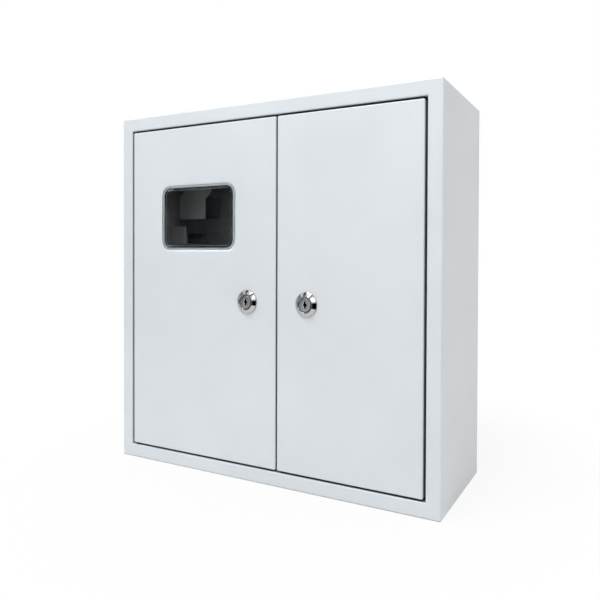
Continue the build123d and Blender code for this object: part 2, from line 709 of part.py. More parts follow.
def stud_nut_and_washer(x, z, root, towards):
    """Washer and nut on a stud, seated on the sheet at depth root."""
    seat = root + towards * WASHER
    washer = rod(x, z, WASHER_RADIUS, sorted((root, seat)))
    nut = hexagon(x, z, NUT_ACROSS, sorted((seat, seat + towards * NUT)))
    hole = rod(x, z, STUD_RADIUS, sorted((root - towards, root + towards * 2 * NUT)))
    return [washer - hole, nut - hole]


def door_pieces(side, x_limits, hinge_x, edge_x, lock_x):
    """Hinge and lock pieces of one door, by node name."""
    stud_x = hinge_x + (DOOR_STUD_FROM_EDGE if edge_x < 0 else -DOOR_STUD_FROM_EDGE)
    ends = (-1, 1)
    return {
        f"{side}_hinge_pins": [hinge_pin(hinge_x, end) for end in ends],
        f"{side}_hinge_bushes": [hinge_bush(hinge_x, end) for end in ends],
        f"{side}_hinge_brackets": [hinge_bracket(hinge_x, edge_x, end) for end in ends],
        f"{side}_lock_ring": lock_ring(lock_x),
        f"{side}_lock_body": lock_body(lock_x),
        f"{side}_lock_plug": lock_plug(lock_x),
        f"{side}_lock_nut": lock_nut(lock_x),
        f"{side}_lock_cam": lock_cam(lock_x),
        f"{side}_lock_screw": cam_screw(lock_x),
        f"{side}_door_stud": stud(stud_x, DOOR_STUD_Z, SHEET, DOOR_STUD_LENGTH),
        f"{side}_door_stud_nut": stud_nut_and_washer(stud_x, DOOR_STUD_Z, SHEET, 1),
    }


def all_pieces():
    """Every piece of the enclosure, by node name."""
    pieces = {
        "cabinet_shell": cabinet_shell(),
        "back_panel": back_panel(),
        "mullion": mullion(),
        "partition": partition(),
        "door_buffers": door_buffers(),
        "left_door": left_door(),
        "right_door": door(RIGHT_DOOR_X, RIGHT_HINGE_X, RIGHT_LOCK_X),
        "window_insert": window_insert(),
        "meter_plate": meter_plate(),
        "meter_supports": meter_supports(),
        "plate_brackets": plate_brackets(),
        "meter_plate_screws": meter_plate_screws(),
        "left_bay_spacers": left_bay_spacers(),
        "main_rail": rail(MAIN_RAIL_X, MAIN_RAIL_FRONT, MAIN_RAIL_Z, [x for x, z in MAIN_RAIL_SCREWS]),
        "rail_uprights": rail_uprights(),
        "rail_screws": rail_screws(),
        "module_cover": module_cover(),
        "cover_pillars": cover_pillars(),
        "cover_screws": cover_screws(),
        "earth_stud": stud(*EARTH_STUD_PLACE, TRAY_FRONT, -STUD_LENGTH),
        "earth_stud_nut": stud_nut_and_washer(*EARTH_STUD_PLACE, TRAY_FRONT, -1),
    }
    pieces |= door_pieces("left", LEFT_DOOR_X, LEFT_HINGE_X, LEFT_DOOR_X[0], LEFT_LOCK_X)
    pieces |= door_pieces("right", RIGHT_DOOR_X, RIGHT_HINGE_X, RIGHT_DOOR_X[1], RIGHT_LOCK_X)
    for name, z in MODULE_RAIL_HEIGHTS.items():
        pieces[name] = rail(MODULE_RAIL_X, MODULE_RAIL_FRONT, z, UPRIGHT_CENTRES)
    for name, z in BAR_HEIGHTS.items():
        pieces[name] = terminal_bar(z)
        pieces[f"{name}_screws"] = bar_screws(z)
        pieces[f"{name}_insulators"] = bar_insulators(z)
    return pieces


os.makedirs("parts", exist_ok=True)
for name, piece in all_pieces().items():
    solids = piece if isinstance(piece, list) else [piece]
    if len(solids) > 1:
        piece = Compound(children=[solid for group in solids for solid in group.solids()])
    export_step(piece, f"parts/{name}.step")
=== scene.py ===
import json
import math

import bmesh
import bpy
import numpy as np
from bpy.props import FloatProperty, FloatVectorProperty, PointerProperty
from mathutils import Euler, Matrix, Vector


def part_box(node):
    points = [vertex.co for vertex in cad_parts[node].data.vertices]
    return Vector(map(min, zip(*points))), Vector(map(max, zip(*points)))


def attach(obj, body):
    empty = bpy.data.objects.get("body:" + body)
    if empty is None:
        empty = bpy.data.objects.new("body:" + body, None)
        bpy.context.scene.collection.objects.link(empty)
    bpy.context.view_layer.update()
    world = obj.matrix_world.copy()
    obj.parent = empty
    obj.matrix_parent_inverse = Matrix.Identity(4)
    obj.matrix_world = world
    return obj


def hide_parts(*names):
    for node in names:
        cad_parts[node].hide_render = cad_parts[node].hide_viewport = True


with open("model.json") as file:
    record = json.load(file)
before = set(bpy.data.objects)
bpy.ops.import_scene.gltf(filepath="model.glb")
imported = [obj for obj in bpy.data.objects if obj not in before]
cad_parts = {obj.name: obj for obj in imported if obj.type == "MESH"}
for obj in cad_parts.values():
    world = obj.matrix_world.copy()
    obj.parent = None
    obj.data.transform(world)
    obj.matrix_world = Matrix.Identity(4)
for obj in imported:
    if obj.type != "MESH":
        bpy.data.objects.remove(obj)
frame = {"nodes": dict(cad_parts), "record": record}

bl_info = {
    "name": "Electrical enclosure",
    "version": (1, 0, 0),
    "blender": (4, 5, 0),
    "location": "3D View > Sidebar > Enclosure",
    "description": "Finishes the wall-mounted steel enclosure, its locks, window and small parts",
    "category": "Object",
}

WELD = 1e-6
MM = 0.001
SMOOTH_BELOW = math.radians(35)
FULL_TURN = 2 * math.pi
SLOT_OF = {part["node"]: part["material_slot"] for part in frame["record"]["subparts"]}
BODY_OF = {node: body for body, nodes in frame["record"]["behaviour"]["bodies"].items() for node in nodes}
SIDES = ("left", "right")


def linear(hex_colour):
    """Linear colour with alpha from an sRGB hex code."""
    parts = [int(hex_colour[i:i + 2], 16) / 255 for i in (0, 2, 4)]
    return (*[c / 12.92 if c <= 0.04045 else ((c + 0.055) / 1.055) ** 2.4 for c in parts], 1.0)


def colour(name, hex_colour, description):
    """Colour property with an sRGB default."""
    return FloatVectorProperty(
        name=name, description=description, default=linear(hex_colour), subtype="COLOR", size=4, min=0, max=1)


def number(name, value, description, **settings):
    """Number property with its default."""
    return FloatProperty(name=name, description=description, default=value, **settings)


def size(name, metres, description):
    """Length property in metres."""
    return number(name, metres, description, unit="LENGTH", min=0, precision=5)


class EnclosureColours(bpy.types.PropertyGroup):
    """Colours of the enclosure's materials."""

    paint: colour("Powder coat", "E6ECF0", "Light grey powder coat of the sheet steel")
    paint_shade: colour("Powder coat shade", "E2E8EC", "Powder coat where it lies a little thinner")
    # Painted shade: the coat is drawn darker for light that has bounced, so that the gaps look dark
    paint_bounce_shade: colour("Painted shade of the coat in the gaps", "A6A8AA", "Coat colour for bounced light, darker as painted shade in the gaps")
    # Painted shade, near black where two painted sheets nearly meet
    crevice_shade: colour("Painted crevice shade", "101112", "Painted shade in the joints between painted sheets")
    galvanised: colour("Galvanised sheet", "AEB2B5", "Hot-dip galvanised sheet between spangles")
    spangle: colour("Zinc spangle", "A2A6AA", "Darker zinc crystals on galvanised sheet")
    primer: colour("Primer", "F0F1F2", "Light grey primer of the meter plate's supports")
    primer_shade: colour("Primer shade", "E6E8EA", "Primer where it lies thinner")
    plating: colour("Zinc plating", "C4C7CA", "Bright zinc plating of screws, nuts and studs")
    # Painted shade and dirt in the lock's groove
    cast: colour("Cast zinc", "7C7E81", "Bare die-cast zinc in the lock's groove")
    chrome: colour("Chrome", "BCBEC0", "Polished chrome of the lock rings")
    nickel: colour("Satin nickel", "BEBFC1", "Satin nickel of the lock heads and plugs")
    window: colour("Window", "FAFBFB", "Faint tint of the clear polycarbonate window")
    # Also painted shade on the walls of the key slots
    black_oxide: colour("Black oxide", "37383A", "Blackened steel of the hinge pins, and painted shade in the key slots")
    nylon: colour("Nylon", "232324", "Black nylon of the hinge bushes")
    rubber: colour("Rubber", "1E1E1F", "Black rubber of the door buffers")
    brass: colour("Brass", "C9A55B", "Drawn brass of the terminal bars")
    blue: colour("Neutral insulator", "1F5FA8", "Blue moulded insulators of the neutral bar")
    green: colour("Earth insulator", "2C7A3A", "Green moulded insulators of the earth bar")


class LockSizes(bpy.types.PropertyGroup):
    """Sizes of the cam locks that the CAD part doesn't give."""

    ring_edge: size("Ring edge", 0.0011, "Height of the ring's upright edge")
    # The black seal also draws the dark contact line round the ring: painted shade
    ring_seal: size("Ring seal", 0.0008, "Thickness of the rubber seal under the ring")
    ring_top: size("Ring top", 0.0106, "Radius of the ring's flat top")
    round: size("Edge round", 0.0003, "Radius of the ring's rim and the head's rounded edges")
    crown: size("Ring crown", 0.0007, "Radius of the ring's rounded top")
    face: size("Head face", 0.0079, "Radius of the head's raised face")
    groove: size("Head groove", 0.0015, "Depth of the groove between the head's face and the ring")
    barrel: size("Barrel", 0.009, "Radius of the threaded barrel")
    pitch: size("Thread pitch", 0.001, "Pitch of the barrel's thread")
    thread: size("Thread depth", 0.0004, "Depth of the barrel's thread")
    plug: size("Plug", 0.006, "Radius of the turning plug")
    tail: size("Plug tail", 0.0068, "Width of the plug's square tail")
    clearance: size("Plug clearance", 0.00005, "Gap between plug and barrel")
    slot_height: size("Key slot height", 0.0094, "Height of the key slot")
    slot_width: size("Key slot width", 0.0022, "Width of the key slot")
    slot_bevel: size("Key slot bevel", 0.0005, "Width of the bevel round the key slot")
    slot_sink: size("Key slot sink", 0.00025, "Depth of the bevel round the key slot")
    ward: size("Key slot ward", 0.0062, "Width across the diamond in the key slot")
    ward_drop: size("Ward drop", 0.0002, "Distance of the diamond below the slot's middle")
    slot_depth: size("Key slot depth", 0.009, "Depth of the key slot")
    nut: size("Nut width", 0.022, "Width across the flats of the lock's nut")


class WindowSizes(bpy.types.PropertyGroup):
    """Sizes of the window moulding that the CAD part doesn't give."""

    corner: size("Flange corner", 0.014, "Corner radius of the flange")
    edge: size("Flange round", 0.0004, "Rounding of the flange's front edge")
    skirt_width: size("Skirt width", 0.1148, "Width of the skirt in the door's cut-out")
    skirt_height: size("Skirt height", 0.0778, "Height of the skirt in the door's cut-out")
    skirt_corner: size("Skirt corner", 0.0094, "Corner radius of the skirt")
    wall: size("Skirt wall", 0.0012, "Thickness of the skirt's wall")
    root: size("Skirt root", 0.0008, "Radius of the hollow where the skirt's wall leaves the pane")
    # The black seal also draws the shade in the gap round the skirt: painted shade
    seal_width: size("Seal width", 0.1178, "Width of the black seal in the door's cut-out")
    seal_height: size("Seal height", 0.0808, "Height of the black seal in the door's cut-out")
    seal_corner: size("Seal corner", 0.0109, "Corner radius of the black seal")
    seal: size("Seal depth", 0.0012, "Depth of the black seal")
    tongue: size("Tongue height", 0.0186, "Height of each snap tongue")
    slit: size("Slit", 0.0012, "Width of the slits beside each tongue")
    hook_front: size("Hook front", 0.0014, "Depth at which each tongue's hook starts")
    hook_rear: size("Hook rear", 0.006, "Depth at which each tongue's hook ends")
    hook: size("Hook reach", 0.0032, "How far each hook stands out from the skirt")


class FastenerSizes(bpy.types.PropertyGroup):
    """Sizes of the screws, nuts, studs and spacers."""

    head: size("Head height", 0.003, "Height of a pan head")
    shank: size("Shank", 0.0024, "Radius of the screws' shanks")
    lock_shank: size("Cam screw shank", 0.0018, "Radius of the cam screws' shanks")
    cross: size("Cross length", 0.0052, "Length of a head's cross recess")
    cross_width: size("Cross width", 0.0011, "Width of a head's cross recess")
    pitch: size("Thread pitch", 0.001, "Pitch of the studs' threads")
    thread: size("Thread depth", 0.0004, "Depth of the studs' threads")
    nut: size("Nut width", 0.010, "Width across the flats of the stud nuts")
    washer: size("Washer", 0.0012, "Thickness of the stud washers")
    stud: size("Stud", 0.003, "Radius of the studs")
    spacer: size("Spacer width", 0.009, "Width across the flats of the spacers")
    tap: size("Tapped hole", 0.0025, "Radius of the spacers' tapped holes")
    tap_depth: size("Tapped depth", 0.0068, "Depth of the spacers' tapped holes")
    slot: size("Screw slot", 0.0009, "Width of the slot in a terminal screw")
    pin: size("Hinge pin", 0.002, "Radius of the hinge pins")
    bush: size("Hinge bush", 0.003, "Radius of the hinge bushes")


class StageSettings(bpy.types.PropertyGroup):
    """Camera, lamps and floor."""

    position: FloatVectorProperty(
        name="Camera", description="Camera position", default=(0.42600639, -0.7133982, 0.04838009),
        subtype="TRANSLATION", unit="LENGTH", size=3, precision=5)
    yaw: number("Yaw", math.radians(24.688227), "Camera turn to the left", subtype="ANGLE")
    pitch: number("Pitch", math.radians(0.7251656), "Camera tilt down", subtype="ANGLE")
    roll: number("Roll", math.radians(0.2934), "Camera roll", subtype="ANGLE")
    lens: number("Lens", 32.992, "Focal length in millimetres", min=1)
    shift_x: number("Shift X", -0.1345, "Sideways lens shift")
    shift_y: number("Shift Y", -0.062718, "Upward lens shift")
    world: number("Room light", 0.3, "Strength of the light from all round", min=0)
    key: number("Key lamp", 21.3, "Power of the upper left softbox", min=0)
    top: number("Top lamp", 9.7, "Power of the softbox above the camera", min=0)
    front: number("Front lamp", 4.1, "Power of the front right softbox", min=0)
    side: number("Side lamp", 6.8, "Power of the softbox on the right", min=0)
    back: number("Back lamp", 8, "Power of the softbox behind the enclosure", min=0)
    floor_white: number("Floor white", 0.85, "Share of plain white in the floor near the enclosure", min=0, max=1)
    floor_near: size("Floor near", 0.25, "Distance from the middle up to which the floor has its full shadow")
    floor_reach: size("Floor reach", 0.5, "Distance from the middle at which the floor is plain white")


# Surfaces

def turn_angles(count, *corners):
    """Angles once round, evenly spaced, with the given corner angles among them."""
    return np.unique(np.concatenate([np.linspace(0, FULL_TURN, count + 1), *corners]))


def rectangle_corners(width, height):
    """Angles of a rectangle's four corners, seen from its middle."""
    first = math.atan2(height, width)
    return np.array([first, math.pi - first, math.pi + first, FULL_TURN - first])


def rectangle(angles, width, height):
    """Distance from a rectangle's middle to its edge: half the width over |cos|, or half the height over |sin|."""
    across = width / 2 / np.maximum(np.abs(np.cos(angles)), WELD)
    up = height / 2 / np.maximum(np.abs(np.sin(angles)), WELD)
    return np.minimum(across, up)


def round_ended(angles, width, height):
    """Distance from the middle of an upright slot to its edge: its straight side, half the width over |cos|, or
    where that passes the ends' centres, the root of the circle there, c |sin| + sqrt(r^2 - c^2 cos^2)."""
    radius = width / 2
    reach = height / 2 - radius
    cos, sin = np.abs(np.cos(angles)), np.abs(np.sin(angles))
    side = radius / np.maximum(cos, WELD)
    end = reach * sin + np.sqrt(np.maximum(radius ** 2 - (reach * cos) ** 2, 0))
    return np.where(side * sin > reach, end, side)


def diamond(angles, width, drop):
    """Distance to the edge of an upright square diamond whose middle is lower by drop than where it is measured.
    A point there has |x| + |z + drop| = half the width: above, (half - drop) / (|cos| + sin), and below,
    where z is less than -drop, (half + drop) / (|cos| - sin)."""
    half = width / 2
    cos, sin = np.abs(np.cos(angles)), np.sin(angles)
    above = (half - drop) / np.maximum(cos + sin, WELD)
    below = (half + drop) / np.maximum(cos - sin, WELD)
    return np.where(above * sin >= -drop, np.where(cos + sin > WELD, above, below), below)


def diamond_corners(width, drop):
    """Angles of the diamond's side corners, seen from above its middle by drop."""
    low = math.atan2(-drop, width / 2)
    return np.array([FULL_TURN + low, math.pi - low])


def hexagon(angles, across):
    """Distance from a hexagon's middle to its edge: half its width over the cosine of the angle off the flat."""
    sixth = math.pi / 3
    return across / 2 / np.cos(np.mod(angles + sixth / 2, sixth) - sixth / 2)


def rounded(points, radii, steps=5):
    """Profile whose corners become arcs of the given radii; each arc meets both sides at r / tan(half angle)."""
    points = np.asarray(points, dtype=float)
    out = [points[:1]]
    for before, corner, after, radius in zip(points, points[1:], points[2:], radii[1:]):
        to_before = (before - corner) / np.linalg.norm(before - corner)
        to_after = (after - corner) / np.linalg.norm(after - corner)
        half = math.acos(np.clip(to_before @ to_after, -1, 1)) / 2
        if radius == 0 or half < WELD:
            out.append(corner[None])
            continue
        towards = to_before + to_after
        centre = corner + towards / np.linalg.norm(towards) * radius / math.sin(half)
        start = corner + to_before * radius / math.tan(half) - centre
        end = corner + to_after * radius / math.tan(half) - centre
        sweep = math.pi - 2 * half
        share = np.linspace(0, 1, steps + 1)[:, None]
        arc = np.sin((1 - share) * sweep) * start + np.sin(share * sweep) * end
        out.append(centre + arc / math.sin(sweep))
    out.append(points[-1:])
    return np.concatenate(out)


def thread(radius, start, end, pitch, depth, samples=6):
    """Rows of a screw thread: the radius less depth times a triangle wave of (depth along / pitch - turns)."""
    along = np.linspace(start, end, max(2, int(abs(end - start) / pitch * samples)))

    def row(place):
        return lambda angles: radius - depth * np.abs(2 * np.mod(place / pitch - angles / FULL_TURN, 1) - 1)

    return [(row(place), place) for place in along]


def turned(rows, centre, angles, axis="Y"):
    """Grid of a turned piece. Row: radius, a number or a function of the angle, and place along the axis.
    A point is centre + radius (cos, sin) across the axis + place along it."""
    radius = np.array([np.broadcast_to(r(angles) if callable(r) else r, angles.shape) for r, _ in rows])
    place = np.array([np.full(angles.shape, along) for _, along in rows])
    across = radius * np.cos(angles)
    up = radius * np.sin(angles)
    parts = (across, place, up) if axis == "Y" else (across, up, place)
    return np.stack(parts, axis=-1) + np.array(centre)


def new_object(node, grids, *slots):
    """Object from grids of points, each a skin of quads, that takes over a CAD node with its name, body and finish.
    The slots name the finishes of the last grids where those aren't the node's own."""
    verts, faces, coords, kinds, first = [], [], [], [], 0
    slots = [SLOT_OF[node]] * (len(grids) - len(slots)) + [*slots]
    finishes = list(dict.fromkeys([SLOT_OF[node], *slots]))
    for grid, kind in zip(grids, slots):
        rows, columns = grid.shape[:2]
        index = first + np.arange(rows * columns).reshape(rows, columns)
        quads = np.stack([index[:-1, :-1], index[:-1, 1:], index[1:, 1:], index[1:, :-1]], axis=-1)
        steps = np.linalg.norm(np.diff(grid, axis=0), axis=-1).mean(axis=1)
        along = np.concatenate([[0], np.cumsum(steps)])
        turn = np.linspace(0, 1, columns)
        coords.append(np.stack(np.meshgrid(turn, along), axis=-1).reshape(-1, 2))
        verts.append(grid.reshape(-1, 3))
        faces.append(quads.reshape(-1, 4))
        kinds.append(np.full((rows - 1) * (columns - 1), finishes.index(kind)))
        first += rows * columns
    faces = np.concatenate(faces)
    mesh = bpy.data.meshes.new(node)
    mesh.from_pydata(np.concatenate(verts).tolist(), [], faces.tolist())
    layer = mesh.uv_layers.new(name="turning")
    layer.data.foreach_set("uv", np.concatenate(coords)[faces.ravel()].ravel())
    mesh.polygons.foreach_set("material_index", np.concatenate(kinds))
    for kind in finishes:
        mesh.materials.append(finish(kind))
    skin = bmesh.new()
    skin.from_mesh(mesh)
    bmesh.ops.remove_doubles(skin, verts=skin.verts, dist=WELD)
    bmesh.ops.dissolve_degenerate(skin, edges=skin.edges, dist=WELD)
    bmesh.ops.recalc_face_normals(skin, faces=skin.faces)
    skin.to_mesh(mesh)
    skin.free()
    mesh.shade_smooth()
    mesh.set_sharp_from_angle(angle=SMOOTH_BELOW)
    piece = bpy.data.objects.new(node, mesh)
    bpy.context.scene.collection.objects.link(piece)
    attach(piece, BODY_OF[node])
    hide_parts(node)


def middle(node):
    """Middle of a CAD node's box, and half its size."""
    low, high = (np.array(corner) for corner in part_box(node))
    return (low + high) / 2, (high - low) / 2


def solids_of(node):
    """Lowest and highest corner of each separate solid of a CAD node.
    Points that share a face take the lowest label of the face until none changes."""
    source = frame["nodes"][node]
    mesh = source.data
    points = np.empty(len(mesh.vertices) * 3)
    mesh.vertices.foreach_get("co", points)
    mesh.calc_loop_triangles()
    faces = np.empty(len(mesh.loop_triangles) * 3, dtype=np.int64)
    mesh.loop_triangles.foreach_get("vertices", faces)
    points, joined = np.unique(np.round(points.reshape(-1, 3), 6), axis=0, return_inverse=True)
    faces = joined.ravel()[faces].reshape(-1, 3)
    label = np.arange(len(points))
    while True:
        lowest = np.repeat(label[faces].min(axis=1), 3)
        spread = label.copy()
        np.minimum.at(spread, faces.ravel(), lowest)
        spread = spread[spread]
        if np.array_equal(spread, label):
            break
        label = spread
    turn = np.array(source.matrix_world)
    points = points @ turn[:3, :3].T + turn[:3, 3]
    return [(points[label == one].min(axis=0), points[label == one].max(axis=0)) for one in np.unique(label)]


def nut_grid(centre, half, across, bore, face=0.97, slope=1.9):
    """Hexagon nut. Its outside is the hexagon's radius or the chamfer cone's, whichever is less. The cone starts on
    either side at a share of half the nut's width, and widens by the slope times the depth."""
    depths = np.linspace(0, 2 * half, 7)
    cone = face * across / 2 + slope * np.minimum(depths, depths[::-1])

    def row(limit):
        return lambda angles: np.minimum(hexagon(angles, across), limit)

    outside = [(row(limit), depth - half) for limit, depth in zip(cone, depths)]
    return turned([(bore, -half), *outside, (bore, half), (bore, -half)], centre, turn_angles(96))


def turn_solids(node, profile, angles, towards=1):
    """Object whose solids are each turned about their own line along Y. The profile gives rows from a solid's
    radius and length, from its front, or from its back where towards is -1."""
    grids = []
    for low, high in solids_of(node):
        x, y, z = (low + high) / 2
        radius, half = (high[0] - low[0]) / 2, (high[1] - low[1]) / 2
        rows = [(r, towards * along) for r, along in profile(radius, 2 * half)]
        grids.append(turned(rows, (x, y - towards * half, z), angles))
    new_object(node, grids)


# Materials

def add(tree, kind, values=None, links=None, **settings):
    """Shader node with its inputs set from values and joined from links."""
    node = tree.nodes.new("ShaderNode" + kind)
    for name, value in settings.items():
        setattr(node, name, value)
    for name, value in (values or {}).items():
        node.inputs[name].default_value = value
    for name, output in (links or {}).items():
        tree.links.new(output, node.inputs[name])
    return node


def new_material(name):
    """Node material without any nodes yet, and its tree."""
    material = bpy.data.materials.new(name)
    material.use_nodes = True
    material.node_tree.nodes.clear()
    return material, material.node_tree


def per(millimetres):
    """Scale of a pattern whose grains, lines or cells are so many millimetres wide."""
    return 1 / (millimetres * MM)


def two_tones(tree, share, low, high, first, second):
    """Colour that goes from the first tone to the second as a share goes from low to high."""
    reached = add(tree, "MapRange", {"From Min": low, "From Max": high}, {"Value": share})
    mixed = add(tree, "Mix", {"A": first, "B": second}, {"Factor": reached.outputs["Result"]}, data_type="RGBA")
    return mixed.outputs["Result"]


def swells(tree, width, depth, strength, detail=1.0):
    """Normal of a surface with soft swells, their width and depth given in millimetres."""
    place = add(tree, "TexCoord").outputs["Object"]
    height = add(tree, "TexNoise", {"Scale": per(width), "Detail": detail}, {"Vector": place})
    bump = add(tree, "Bump", {"Strength": strength, "Distance": depth * MM}, {"Height": height.outputs["Fac"]})
    return bump.outputs["Normal"]


def crevice_shade_share(tree, place):
    """Share of painted shade on painted sheet: none where at least 65 % of the room is free of faces within 6 mm, and
    full where at most 15 % is. Behind the window's clear flange there is none, but for a painted shadow line 0.4 mm
    wide along the flange's rounded edge, where the distance from the middle of the corner's arc passes its radius less
    the line."""
    reach, line = 6 * MM, 0.4 * MM
    joint = add(tree, "AmbientOcclusion", {"Distance": reach}, samples=8)
    occluded_share = add(tree, "MapRange", {"From Min": 0.65, "From Max": 0.15}, {"Value": joint.outputs["AO"]})
    corner = bpy.context.scene.enclosure_window.corner
    window, half = middle("window_insert")
    off = add(tree, "VectorMath", {1: window}, {0: place}, operation="SUBTRACT")
    for operation, values in (("ABSOLUTE", {}), ("SUBTRACT", {1: half - corner}), ("MAXIMUM", {1: (0, 0, 0)}),
                              ("MULTIPLY", {1: (1, 0, 1)}), ("LENGTH", {})):
        off = add(tree, "VectorMath", values, {0: off.outputs["Vector"]}, operation=operation)
    bare = add(tree, "Math", {1: corner - line}, {0: off.outputs["Value"]}, operation="GREATER_THAN")
    share = add(tree, "Math", links={0: occluded_share.outputs["Result"], 1: bare.outputs["Value"]}, operation="MULTIPLY")
    return share.outputs["Value"]


def powder_coat(tree, colours):
    # Polyester powder, cured: an even satin grey. Its orange peel, 1.2 mm wide and 0.12 mm deep here so that it
    # shows, breaks up each reflection. It is drawn darker for light that has bounced, a painted shade so that the
    # 2 mm gaps look as deep as they are, and painted shade darkens the joints
    place = add(tree, "TexCoord").outputs["Object"]
    path = add(tree, "LightPath")
    cloud = add(tree, "TexNoise", {"Scale": per(110), "Detail": 2.0}, {"Vector": place})
    even = two_tones(tree, cloud.outputs["Fac"], 0.35, 0.65, colours.paint_shade, colours.paint)
    # Painted shade: a darker coat for bounced light, which darkens the gaps
    tone = add(tree, "Mix", {"B": colours.paint_bounce_shade},
               {"Factor": path.outputs["Is Diffuse Ray"], "A": even}, data_type="RGBA")
    # Painted shade in the crevices, where faces within 6 mm hide most of the room
    coat = add(tree, "Mix", {"B": colours.crevice_shade},
               {"Factor": crevice_shade_share(tree, place), "A": tone.outputs["Result"]}, data_type="RGBA")
    return add(tree, "BsdfPrincipled",
               {"Roughness": 0.42, "IOR": 1.5, "Coat Weight": 0.35, "Coat Roughness": 0.18},
               {"Base Color": coat.outputs["Result"], "Normal": swells(tree, 1.2, 0.12, 0.22, detail=2.0)})


def galvanised(tree, colours):
    # Hot-dip zinc: matt grey metal with frosted crystals some 6 mm wide, each of its own tone
    place = add(tree, "TexCoord").outputs["Object"]
    cells = add(tree, "TexVoronoi", {"Scale": per(6), "Randomness": 1.0}, {"Vector": place})
    grey = add(tree, "RGBToBW", links={"Color": cells.outputs["Color"]}).outputs["Val"]
    rough = add(tree, "MapRange", {"To Min": 0.38, "To Max": 0.56}, {"Value": grey})
    return add(tree, "BsdfPrincipled", {"Metallic": 1.0},
               {"Base Color": two_tones(tree, grey, 0.2, 0.8, colours.spangle, colours.galvanised),
                "Roughness": rough.outputs["Result"]})


def zinc_primer(tree, colours):
    # Zinc phosphate primer, dipped: a chalky light grey that stays dull, a little uneven over 20 mm
    place = add(tree, "TexCoord").outputs["Object"]
    dip = add(tree, "TexNoise", {"Scale": per(20), "Detail": 3.0}, {"Vector": place})
    tone = two_tones(tree, dip.outputs["Fac"], 0.3, 0.7, colours.primer_shade, colours.primer)
    return add(tree, "BsdfPrincipled", {"Roughness": 0.6}, {"Base Color": tone})


def patchy_metal(tree, colours, tint, widths, rough, detail=2.0):
    """Metal of one tint, duller and brighter in patches whose widths along X, Y and Z are given in millimetres."""
    place = add(tree, "TexCoord").outputs["Object"]
    stretch = add(tree, "Mapping", {"Scale": [per(width) for width in widths]}, {"Vector": place})
    patches = add(tree, "TexNoise", {"Scale": 1.0, "Detail": detail}, {"Vector": stretch.outputs["Vector"]})
    dull = add(tree, "MapRange", {"To Min": rough[0], "To Max": rough[1]}, {"Value": patches.outputs["Fac"]})
    return add(tree, "BsdfPrincipled", {"Metallic": 1.0, "Base Color": getattr(colours, tint)},
               {"Roughness": dull.outputs["Result"]})


def polished_chrome(tree, colours):
    # Die-cast zinc, polished and chromed: a mirror with the shallow waves, 5 mm wide, that buffing leaves
    return add(tree, "BsdfPrincipled", {"Metallic": 1.0, "Roughness": 0.05, "Base Color": colours.chrome},
               {"Normal": swells(tree, 5, 0.1, 0.025)})


def satin_nickel(tree, colours):
    # Nickel plated over a turned face: rings round the axis that spread the light into a fan.
    # The tool's marks are 0.05 mm apart and drawn 0.2 mm apart so that they show
    coords = add(tree, "UVMap", uv_map="turning").outputs["UV"]
    stretch = add(tree, "Mapping", {"Scale": (2.0, per(0.2), 1.0)}, {"Vector": coords})
    rings = add(tree, "TexNoise", {"Scale": 1.0, "Detail": 2.0}, {"Vector": stretch.outputs["Vector"]})
    bump = add(tree, "Bump", {"Strength": 0.25, "Distance": 0.04 * MM}, {"Height": rings.outputs["Fac"]})
    rough = add(tree, "MapRange", {"To Min": 0.28, "To Max": 0.42}, {"Value": rings.outputs["Fac"]})
    return add(tree, "BsdfPrincipled", {"Metallic": 1.0, "Base Color": colours.nickel},
               {"Roughness": rough.outputs["Result"], "Normal": bump.outputs["Normal"]})


def clear_polycarbonate(tree, colours):
    # Clear injection moulding: glossy, with flow waves 15 mm wide, and lamps shine through it as through a thin pane
    path = add(tree, "LightPath")
    pane = add(tree, "BsdfPrincipled",
               {"Base Color": colours.window, "Roughness": 0.02, "IOR": 1.58, "Transmission Weight": 1.0},
               {"Normal": swells(tree, 15, 0.1, 0.05)})
    clear = add(tree, "BsdfTransparent", {"Color": colours.window})
    return add(tree, "MixShader", links={
        0: path.outputs["Is Shadow Ray"], 1: pane.outputs["BSDF"], 2: clear.outputs["BSDF"]})


def moulded(tree, colours, tint, rough):
    """Moulded plastic or rubber: one tint, and the grain of a spark-eroded mould, 0.7 mm wide so that it shows."""
    return add(tree, "BsdfPrincipled", {"Base Color": getattr(colours, tint), "Roughness": rough},
               {"Normal": swells(tree, 0.7, 0.05, 0.15, detail=2.0)})


